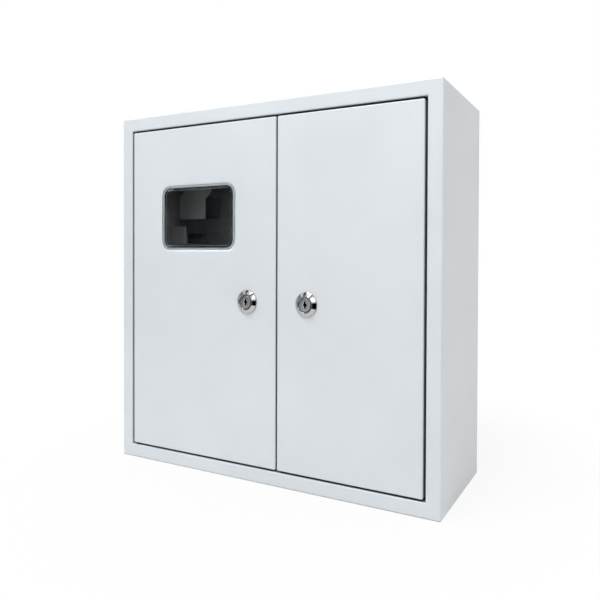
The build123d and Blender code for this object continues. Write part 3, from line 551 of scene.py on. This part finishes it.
# Finish of each slot: the material's name, its function, and what that takes besides the tree and the colours
FINISHES = {
    "cabinet_paint": ("Light grey powder coat on steel sheet", powder_coat),
    "galvanised_sheet": ("Hot-dip galvanised steel sheet", galvanised),
    "zinc_primer": ("Light grey zinc primer on steel", zinc_primer),
    # Electroplated zinc, bright passivated: a clear silver sheen with cloudy stains 4 mm wide
    "zinc_plated_steel": ("Zinc plated steel", patchy_metal, "plating", (4, 4, 4), (0.2, 0.36), 3.0),
    # Die-cast zinc in the lock's groove: dull dark grey, mottled over 1 mm, as painted shade of the groove with dirt
    "cast_zinc": ("Bare die-cast zinc", patchy_metal, "cast", (1, 1, 1), (0.45, 0.65)),
    "polished_chrome": ("Polished chrome on die-cast zinc", polished_chrome),
    "satin_nickel": ("Satin nickel on turned zinc", satin_nickel),
    "clear_polycarbonate": ("Moulded clear polycarbonate", clear_polycarbonate),
    # Blackened and oiled steel: a dark metal whose oily sheen varies over 3 mm. On the key slots' walls it is painted
    # shade
    "blackened_steel": ("Blackened steel", patchy_metal, "black_oxide", (3, 3, 3), (0.35, 0.5)),
    # Polyamide, waxy and matt
    "nylon": ("Moulded black nylon", moulded, "nylon", 0.5),
    # Vulcanised rubber: near black and dull
    "black_rubber": ("Moulded black rubber", moulded, "rubber", 0.75),
    # Drawn brass bar: warm metal with fine lines along its length, 0.4 mm apart so that they show
    "brass": ("Drawn brass", patchy_metal, "brass", (50, 0.4, 0.4), (0.22, 0.38)),
    # Polyamide insulators: satin with a moulded grain
    "blue_insulator": ("Moulded blue nylon", moulded, "blue", 0.38),
    "green_insulator": ("Moulded green nylon", moulded, "green", 0.38),
}
# Nodes that look primed: they are the lightest patches in the photo's window
PRIMED = ("meter_supports", "plate_brackets")


def finish(slot):
    """Material of a finish, made when it is first asked for."""
    name, build, *settings = FINISHES[slot]
    if name in bpy.data.materials:
        return bpy.data.materials[name]
    material, tree = new_material(name)
    shader = build(tree, bpy.context.scene.enclosure_colours, *settings)
    add(tree, "OutputMaterial", links={"Surface": shader.outputs[0]})
    return material


# Operators

class ENCLOSURE_OT_sheet_metal(bpy.types.Operator):
    """Give every CAD node the procedural material of its slot"""

    bl_idname = "enclosure.sheet_metal"
    bl_label = "Finish the sheet metal"

    def execute(self, context):
        for name, node in frame["nodes"].items():
            for slot in node.material_slots:
                slot.material = finish("zinc_primer" if name in PRIMED else SLOT_OF[name])
        return {"FINISHED"}


class ENCLOSURE_OT_locks(bpy.types.Operator):
    """Build the rings, heads, plugs, nuts and screws of both cam locks"""

    bl_idname = "enclosure.locks"
    bl_label = "Build the locks"

    def execute(self, context):
        sizes = context.scene.enclosure_lock
        for side in SIDES:
            self.ring(side, sizes)
            self.body(side, sizes)
            self.plug(side, sizes)
            self.nut(side, sizes)
        return {"FINISHED"}

    def ring(self, side, sizes):
        """Cone of polished metal whose edges are all slightly rounded, on a thin black rubber seal that also stands in
        for the contact shadow round the ring, as painted shade.
        """
        node = f"{side}_lock_ring"
        centre, half = middle(node)
        back, front = half[1], -half[1]
        core = middle(f"{side}_lock_body")[1][0]
        seat = back - sizes.ring_seal
        seal = [(core, seat), (core, back), (half[0], back), (half[0], seat)]
        cone = rounded([seal[-1], (half[0], back - sizes.ring_edge), (sizes.ring_top, front), (core, front), seal[0]],
                       (0, sizes.round, sizes.crown, sizes.crown, 0))
        # The seal's black rubber also stands in for the contact shadow round the ring: painted shade
        new_object(node, [turned(rows, centre, turn_angles(128)) for rows in (cone, seal)], "black_rubber")

    def body(self, side, sizes):
        """Threaded barrel whose raised face leaves a groove inside the ring, drawn in dark zinc as painted shade and
        dirt.
        """
        node = f"{side}_lock_body"
        centre, half = middle(node)
        front, back = -half[1], half[1]
        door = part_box(f"{side}_door")[0].y - centre[1]
        bore = sizes.plug + sizes.clearance
        floor = front + sizes.groove
        root, end = 1.2 * MM, 0.6 * MM
        face = rounded([(bore, front), (sizes.face, front), (sizes.face, floor - MM)], (0, sizes.round, 0))
        groove = [face[-1], (sizes.face, floor), (half[0], floor)]
        barrel = thread(sizes.barrel, door + root, back - end, sizes.pitch, sizes.thread)
        rest = [groove[-1], (half[0], door), (sizes.barrel, door), *barrel, (sizes.barrel - end, back),
                (bore, back), (bore, front)]
        # The groove takes the dark zinc: painted shade and dirt
        new_object(node, [turned(rows, centre, turn_angles(96)) for rows in (face, rest, groove)], "cast_zinc")

    def plug(self, side, sizes):
        """Turning plug: a key slot with a diamond in it, lofted out to the plug's edge, and a square tail.
        The slot's walls are drawn in blackened steel, as painted shade in the deep slot."""
        node = f"{side}_lock_plug"
        centre, half = middle(node)
        front, back = -half[1], half[1]
        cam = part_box(f"{side}_lock_cam")[0].y - centre[1]

        def slot(grow):
            return lambda angles: np.maximum(
                round_ended(angles, sizes.slot_width + grow, sizes.slot_height + grow),
                diamond(angles, sizes.ward + grow, sizes.ward_drop))

        def square(angles):
            return rectangle(angles, sizes.tail, sizes.tail)

        edge = rounded([(half[0] - MM, front), (half[0], front), (half[0], cam)], (0, sizes.round, 0))
        deep = front + sizes.slot_depth
        keyway = [(0, deep), (slot(0), deep), (slot(0), front + sizes.slot_sink)]
        outside = [keyway[-1], (slot(2 * sizes.slot_bevel), front), *edge, (square, cam), (square, back), (0, back)]
        angles = turn_angles(
            144, rectangle_corners(sizes.slot_width, sizes.slot_height - sizes.slot_width),
            diamond_corners(sizes.ward, sizes.ward_drop), rectangle_corners(1, 1))
        # The key slot's walls take the blackened steel: painted shade
        new_object(node, [turned(rows, centre, angles) for rows in (outside, keyway)], "blackened_steel")

    def nut(self, side, sizes):
        """Thin hexagon nut with coned corners."""
        node = f"{side}_lock_nut"
        centre, half = middle(node)
        new_object(node, [nut_grid(centre, half[1], sizes.nut, sizes.barrel)])


class ENCLOSURE_OT_window(bpy.types.Operator):
    """Build the clear window moulding of the left door"""

    bl_idname = "enclosure.window"
    bl_label = "Build the window"

    def execute(self, context):
        sizes = context.scene.enclosure_window
        centre, half = middle("window_insert")
        front, rear = -half[1], half[1]
        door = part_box("left_door")[0].y - centre[1]
        flange = 2 * np.array([half[0], half[2]]), sizes.corner
        skirt = np.array([sizes.skirt_width, sizes.skirt_height]), sizes.skirt_corner
        seal = np.array([sizes.seal_width, sizes.seal_height]), sizes.seal_corner
        wall, bevel, inner_bevel, gap = sizes.wall, 0.3 * MM, 0.2 * MM, 0.1 * MM
        hook_front, hook_rear = door + sizes.hook_front, door + sizes.hook_rear

        def row(outline, inset, depth, hook=0):
            return outline[0] - 2 * inset, outline[1] - inset, depth, hook

        edge = rounded([(2 * MM, front), (0, front), (0, door - gap)], (0, sizes.edge, 0), steps=7)
        root = rounded([(wall, hook_front), (wall, door), (wall + MM, door)], (0, sizes.root, 0))
        pane = [row(flange, inset, depth) for inset, depth in edge]
        pane += [row(flange, 0, door), row(skirt, 0, door), row(skirt, 0, hook_front),
                 row(skirt, 0, hook_front, sizes.hook), row(skirt, 0, hook_rear), row(skirt, 0, rear - bevel),
                 row(skirt, bevel, rear), row(skirt, wall - inner_bevel, rear), row(skirt, wall, rear - inner_bevel)]
        pane += [row(skirt, inset, depth) for inset, depth in root]
        # The black seal lies behind the flange, between the skirt and the door's cut-out, clear of both. Its black also
        # stands in for the shade in that gap: painted shade
        start, end = door + gap / 2, door + sizes.seal
        strip = [row(skirt, -gap, start), row(seal, 0, start), row(seal, 0, end), row(skirt, -gap, end),
                 row(skirt, -gap, start)]
        grid = self.loft(pane, sizes, hook_front)
        grid = np.concatenate([grid[:1] * (0, 1, 0), grid, grid[-1:] * (0, 1, 0)])
        new_object("window_insert", [grid + centre, self.loft(strip, sizes, hook_front) + centre], "black_rubber")
        return {"FINISHED"}

    def loft(self, rows, sizes, hook_front):
        """Rounded rectangles stacked along Y, each of two like halves: a point (x, z) of one is (-x, -z) of the
        other. Upright sides have doubled columns at the slits' edges: between them the skirt stops at the hook's
        front, and between the slits it stands out as a hook."""
        tongue = sizes.tongue / 2
        slit = tongue + sizes.slit
        breaks = np.array([-slit, -slit, -tongue, -tongue, tongue, tongue, slit, slit])
        plain, hooked, slitted = 0, 1, 2
        quarter = np.linspace(0, math.pi / 2, 13)
        arcs = np.concatenate([quarter, quarter + math.pi / 2])
        towards = np.repeat([1, -1], len(quarter))
        kind = np.tile([plain, slitted, slitted, hooked, hooked, slitted, slitted, plain, *[plain] * len(arcs)], 2)
        out = []
        for (width, height), corner, depth, hook in rows:
            across = towards * (width / 2 - corner) + corner * np.cos(arcs)
            up = height / 2 - corner + corner * np.sin(arcs)
            half = np.stack([np.append(np.full(len(breaks), width / 2), across), np.append(breaks, up)])
            x, z = np.concatenate([half, -half], axis=1)
            place = np.where(kind == slitted, min(depth, hook_front), depth)
            ring = np.stack([x + np.where(kind == hooked, hook, 0) * np.sign(x), place, z], axis=-1)
            out.append(np.concatenate([ring, ring[:1]]))
        return np.array(out)


class ENCLOSURE_OT_fasteners(bpy.types.Operator):
    """Build the screws, studs, nuts, washers and spacers"""

    bl_idname = "enclosure.fasteners"
    bl_label = "Build the fasteners"

    def execute(self, context):
        sizes = context.scene.enclosure_fastener
        for node in ("meter_plate_screws", "rail_screws", "cover_screws"):
            self.screws(node, sizes, sizes.shank)
        for side in SIDES:
            self.screws(f"{side}_lock_screw", sizes, sizes.lock_shank, -1)
            self.stud(f"{side}_door_stud", sizes)
            self.stud_nut(f"{side}_door_stud_nut", sizes)
        self.stud("earth_stud", sizes, -1)
        self.stud_nut("earth_stud_nut", sizes)
        for node in ("left_bay_spacers", "cover_pillars"):
            self.spacers(node, sizes)
        for node in ("neutral_bar_screws", "earth_bar_screws"):
            self.bar_screws(node, sizes)
        return {"FINISHED"}

    def screws(self, node, sizes, shank, towards=1):
        """Pan-head screws: a cross recess lofted out to a domed head, and a plain shank."""
        head, length, width = sizes.head, sizes.cross, sizes.cross_width
        # Shares of the cross or the head's radius, and of the head's height
        recess = ((0.45, 0.55), (0.97, 0.015), (1, 0))
        dome = ((0.62, 0), (0.86, 0.14), (1, 0.45), (1, 1))
        # Roundings of the dome, the head's lower edge and the point
        bend, rim, point = 1.2 * MM, 0.2 * MM, 0.4 * MM

        def cross(scale):
            return lambda angles: scale * np.maximum(rectangle(angles, length, width), rectangle(angles, width, length))

        def profile(radius, end):
            inside = [(cross(share), depth * head) for share, depth in recess]
            outside = [(share * radius, depth * head) for share, depth in dome]
            outside += [(shank, head), (shank, end), (0, end)]
            return [(0, inside[0][1]), *inside, *rounded(outside, (0, bend, bend, rim, 0, point, 0))]

        corners = [rectangle_corners(*pair) for pair in ((length, width), (width, length), (1, 1))]
        turn_solids(node, profile, turn_angles(64, *corners), towards)

    def bar_screws(self, node, sizes):
        """Terminal screws' heads with one straight slot."""
        slot_length = 5.2 * MM
        # Shares of the head's radius that the slot and the flat face take
        slot_share, face_share = 1.8, 0.93

        def profile(radius, end):
            def slot(angles):
                return rectangle(angles, slot_share * radius, sizes.slot)

            return [(0, end / 2), (slot, end / 2), (slot, 0), (face_share * radius, 0), (radius, end / 10),
                    (radius, end), (0, end)]

        turn_solids(node, profile, turn_angles(48, rectangle_corners(slot_length, sizes.slot)))

    def stud(self, node, sizes, towards=1):
        """Welded stud with a thread that starts after a short plain root."""
        stud, root, tip = sizes.stud, MM, 0.6 * MM

        def profile(_, end):
            turns = thread(stud, root, end - tip, sizes.pitch, sizes.thread)
            return [(0, 0), (stud, 0), (stud, 0.8 * root), *turns, (stud - sizes.thread, end), (0, end)]

        turn_solids(node, profile, turn_angles(48), towards)

    def stud_nut(self, node, sizes):
        """Washer and nut; the washer is the thin one of the node's two solids."""
        round_off = 0.2 * MM
        grids = []
        for low, high in solids_of(node):
            centre, half = (low + high) / 2, (high - low) / 2
            if half[1] < sizes.washer:
                rim = rounded([(sizes.stud, -half[1]), (half[0], -half[1]), (half[0], half[1]),
                               (sizes.stud, half[1])], (0, round_off, round_off, 0))
                grids.append(turned([*rim, (sizes.stud, -half[1])], centre, turn_angles(64)))
            else:
                grids.append(nut_grid(centre, half[1], sizes.nut, sizes.stud))
        new_object(node, grids)

    def spacers(self, node, sizes):
        """Hexagon spacers with coned ends and a tapped hole in front."""
        tap, cone = sizes.tap, 0.4 * MM
        # The ends' cones start inside the flats and end past the corners: shares of half the width
        start, past = 0.98, 1.2

        def outside(share):
            return lambda angles: np.minimum(hexagon(angles, sizes.spacer), share * sizes.spacer / 2)

        def profile(_, end):
            return [(0, sizes.tap_depth), (tap, sizes.tap_depth), (tap, cone), (tap + cone, 0), (outside(start), 0),
                    (outside(past), 3 * cone), (outside(past), end - 3 * cone), (outside(start), end), (0, end)]

        turn_solids(node, profile, turn_angles(72))


class ENCLOSURE_OT_hinges(bpy.types.Operator):
    """Build the hinge pins, the nylon bushes and the rubber buffers"""

    bl_idname = "enclosure.hinges"
    bl_label = "Build the hinges and buffers"

    def execute(self, context):
        sizes = context.scene.enclosure_fastener
        for side in SIDES:
            self.pins(f"{side}_hinge_pins", sizes)
            self.bushes(f"{side}_hinge_bushes", sizes)
        self.buffers("door_buffers")
        return {"FINISHED"}

    def upright(self, node, profile):
        """Object whose solids are turned about the hinge's axis. The profile gives rows of radius and height from a
        solid's radius and the heights of its inner and outer end, and is mirrored for the lower solid."""
        grids = []
        for low, high in solids_of(node):
            x, y, z = (low + high) / 2
            ends = sorted((abs(low[2]), abs(high[2])))
            rows = [(r, math.copysign(height, z)) for r, height in profile((high[0] - low[0]) / 2, *ends)]
            grids.append(turned(rows, (x, y, 0), turn_angles(48), "Z"))
        new_object(node, grids)

    def pins(self, node, sizes):
        """Headed pins, each with a shoulder."""
        pin, step, thick = sizes.pin, 0.4 * MM, 1.6 * MM
        neck, collar = 1.2 * MM, 1.5 * MM
        point, rim, soft = 0.6 * MM, 0.1 * MM, 0.2 * MM

        def profile(shoulder, tip, top):
            head, under = shoulder - step, top - thick
            upper = under - neck
            lower = upper - collar
            return rounded(
                [(0, top), (head, top), (head, under), (pin, under), (pin, upper), (shoulder, upper),
                 (shoulder, lower), (pin, lower), (pin, tip), (0, tip)],
                (0, point, rim, 0, 0, soft, soft, 0, point, 0))

        self.upright(node, profile)

    def bushes(self, node, sizes):
        """Flanged bushes, each a sleeve with its rims rounded."""
        bore, thick, rim, soft = sizes.pin + 0.05 * MM, 0.8 * MM, 0.1 * MM, 0.2 * MM

        def profile(flange, tip, top):
            under = top - thick
            return rounded(
                [(bore, top), (flange, top), (flange, under), (sizes.bush, under), (sizes.bush, tip), (bore, tip),
                 (bore, top)], (0, soft, rim, 0, soft, 0, 0))

        self.upright(node, profile)

    def buffers(self, node):
        """Domed rubber buffers with a rounded front edge."""
        def profile(radius, end):
            return rounded([(0, 0), (radius, 0), (radius, end), (0, end)], (0, radius / 4, 0, 0))

        turn_solids(node, profile, turn_angles(48))


# Each softbox: the stage setting with its power, its width and height, and its place in metres
LAMPS = {
    "Key softbox": ("key", (0.7, 0.5), (-0.6, -0.9, 1.9)),
    "Top softbox": ("top", (0.5, 0.45), (0.02, -1.33, 1.62)),
    "Front softbox": ("front", (0.9, 0.8), (0.99, -1.63, 0.97)),
    "Side softbox": ("side", (1.2, 1.6), (2.3, 0.1, 0.4)),
    "Back softbox": ("back", (1.2, 1.2), (-0.9, 1.9, 1.2)),
}
# Each card: its width and height, its place in metres, its grey, and its turn in degrees
CARDS = {
    "Window card": ((1.4, 1.1), (-1.0, -1.1, 0.05), "050505", 0),
    "Lens card": ((0.54, 0.3), (0.3, -0.52, -0.09), "050505", 0),
    "Left card": ((1.2, 0.8), (-1.3, -0.3, 0.3), "8C8C8C", 0),
    "Top card": ((0.3, 0.4), (-0.57, -0.56, 0.91), "5A5A5A", 0),
    "Softbox bar": ((0.16, 0.7), (0.14, -0.78, 0.77), "2A2A2A", -45),
}


class ENCLOSURE_OT_stage(bpy.types.Operator):
    """Set up the floor, the lamps, the white background and the camera"""

    bl_idname = "enclosure.stage"
    bl_label = "Set up the stage"

    def execute(self, context):
        settings = context.scene.enclosure_stage
        self.floor(settings)
        self.world(context.scene, settings)
        for name, (setting, extent, place) in LAMPS.items():
            self.lamp(name, getattr(settings, setting), extent, place)
        for name, (extent, place, grey, turn) in CARDS.items():
            self.card(name, extent, place, grey, math.radians(turn))
        self.camera(context.scene, settings)
        context.scene.view_settings.view_transform = "Standard"
        return {"FINISHED"}

    def board(self, name, extent, material, level=0):
        """Flat rectangle round the origin, at a level."""
        mesh = bpy.data.meshes.new(name)
        corners = [(-1, -1), (1, -1), (1, 1), (-1, 1)]
        mesh.from_pydata([(x * extent[0] / 2, y * extent[1] / 2, level) for x, y in corners], [], [(0, 1, 2, 3)])
        mesh.materials.append(material)
        return bpy.data.objects.new(name, mesh)

    def viewed(self, tree):
        """Share that is 1 for rays by which the viewer sees: from the camera, and on by gloss or through glass."""
        path = add(tree, "LightPath")
        share = path.outputs["Is Camera Ray"]
        for ray in ("Is Glossy Ray", "Is Transmission Ray"):
            share = add(tree, "Math", links={0: share, 1: path.outputs[ray]},
                        operation="MAXIMUM").outputs["Value"]
        return share

    def floor(self, settings):
        """Pale floor under the enclosure; the camera sees most of it as plain white, and its faint shadow."""
        material, tree = new_material("Pale studio floor")
        # Matt white board: it gives a faint shadow under the enclosure, and else reads as the background
        board = add(tree, "BsdfDiffuse", {"Color": linear("F4F4F4")})
        white = add(tree, "Emission", {"Color": linear("FFFFFF"), "Strength": 1.0})
        place = add(tree, "TexCoord").outputs["Object"]
        distance = add(tree, "VectorMath", links={0: place}, operation="LENGTH")
        share = add(tree, "MapRange",
                    {"From Min": settings.floor_near, "From Max": settings.floor_reach,
                     "To Min": settings.floor_white},
                    {"Value": distance.outputs["Value"]})
        seen = add(tree, "Math", links={0: share.outputs["Result"], 1: self.viewed(tree)},
                   operation="MULTIPLY")
        mixed = add(tree, "MixShader", links={
            0: seen.outputs["Value"], 1: board.outputs["BSDF"], 2: white.outputs["Emission"]})
        add(tree, "OutputMaterial", links={"Surface": mixed.outputs["Shader"]})
        floor = self.board("Floor", (24, 24), material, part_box("cabinet_shell")[0].z)
        bpy.context.scene.collection.objects.link(floor)

    def world(self, scene, settings):
        """White background for the camera, gloss and glass, and soft grey light on everything."""
        world = bpy.data.worlds.new("Studio")
        scene.world = world
        world.use_nodes = True
        tree = world.node_tree
        tree.nodes.clear()
        room = add(tree, "Background", {"Color": linear("FFFFFF"), "Strength": settings.world})
        white = add(tree, "Background", {"Color": linear("FFFFFF"), "Strength": 1.0})
        mixed = add(tree, "MixShader", links={
            0: self.viewed(tree), 1: room.outputs["Background"], 2: white.outputs["Background"]})
        add(tree, "OutputWorld", links={"Surface": mixed.outputs["Shader"]})

    def aimed(self, thing, place, turn=0):
        """Place a stage object so that it faces the middle of the doors, turned about its own line of sight."""
        target = Vector((0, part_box("left_door")[0].y, 0))
        facing = (target - Vector(place)).to_track_quat("-Z", "Y").to_matrix() @ Matrix.Rotation(turn, 3, "Z")
        thing.matrix_world = Matrix.Translation(place) @ facing.to_4x4()
        bpy.context.scene.collection.objects.link(thing)

    def card(self, name, extent, place, grey, turn):
        """Card that only glass and gloss show, so that they reflect the darker parts of a studio."""
        material, tree = new_material(name + " board")
        # Matt foam board, in the grey that it has in the studio's light
        light = add(tree, "Emission", {"Color": linear(grey), "Strength": 1.0})
        add(tree, "OutputMaterial", links={"Surface": light.outputs["Emission"]})
        board = self.board(name, extent, material)
        board.visible_camera = False
        board.visible_diffuse = False
        board.visible_shadow = False
        self.aimed(board, place, turn)

    def lamp(self, name, power, extent, place):
        """Softbox that faces the middle of the doors."""
        data = bpy.data.lights.new(name, "AREA")
        data.shape = "RECTANGLE"
        data.size, data.size_y = extent
        data.energy = power
        softbox = bpy.data.objects.new(name, data)
        softbox.visible_camera = False
        self.aimed(softbox, place)

    def camera(self, scene, settings):
        """Camera solved from the enclosure's edges in the photo."""
        data = bpy.data.cameras.new("Camera")
        data.sensor_width = 36
        data.lens = settings.lens
        data.shift_x = settings.shift_x
        data.shift_y = settings.shift_y
        camera = bpy.data.objects.new("Camera", data)
        turn = Euler((math.pi / 2 - settings.pitch, 0, settings.yaw)).to_matrix()
        turn = turn @ Matrix.Rotation(settings.roll, 3, "Z")
        camera.matrix_world = Matrix.Translation(settings.position) @ turn.to_4x4()
        scene.collection.objects.link(camera)
        scene.camera = camera


class ENCLOSURE_PT_panel(bpy.types.Panel):
    """Sizes, colours and building steps of the enclosure"""

    bl_idname = "ENCLOSURE_PT_panel"
    bl_label = "Electrical enclosure"
    bl_space_type = "VIEW_3D"
    bl_region_type = "UI"
    bl_category = "Enclosure"

    def draw(self, context):
        for group in GROUPS:
            box = self.layout.box()
            settings = getattr(context.scene, group)
            for name in settings.bl_rna.properties.keys():
                if name not in ("rna_type", "name"):
                    box.prop(settings, name)
        for operator in BUILD_ORDER:
            self.layout.operator(operator.bl_idname)


GROUPS = {
    "enclosure_colours": EnclosureColours,
    "enclosure_lock": LockSizes,
    "enclosure_window": WindowSizes,
    "enclosure_fastener": FastenerSizes,
    "enclosure_stage": StageSettings,
}
BUILD_ORDER = (
    ENCLOSURE_OT_sheet_metal,
    ENCLOSURE_OT_locks,
    ENCLOSURE_OT_window,
    ENCLOSURE_OT_fasteners,
    ENCLOSURE_OT_hinges,
    ENCLOSURE_OT_stage,
)


def register():
    for kind in (*GROUPS.values(), *BUILD_ORDER, ENCLOSURE_PT_panel):
        bpy.utils.register_class(kind)
    for name, kind in GROUPS.items():
        setattr(bpy.types.Scene, name, PointerProperty(type=kind))


def unregister():
    for name in GROUPS:
        delattr(bpy.types.Scene, name)
    for kind in reversed((*GROUPS.values(), *BUILD_ORDER, ENCLOSURE_PT_panel)):
        bpy.utils.unregister_class(kind)


def main():
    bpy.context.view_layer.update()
    register()
    bpy.ops.enclosure.sheet_metal()
    bpy.ops.enclosure.locks()
    bpy.ops.enclosure.window()
    bpy.ops.enclosure.fasteners()
    bpy.ops.enclosure.hinges()
    bpy.ops.enclosure.stage()


if __name__ == "__main__":
    main()
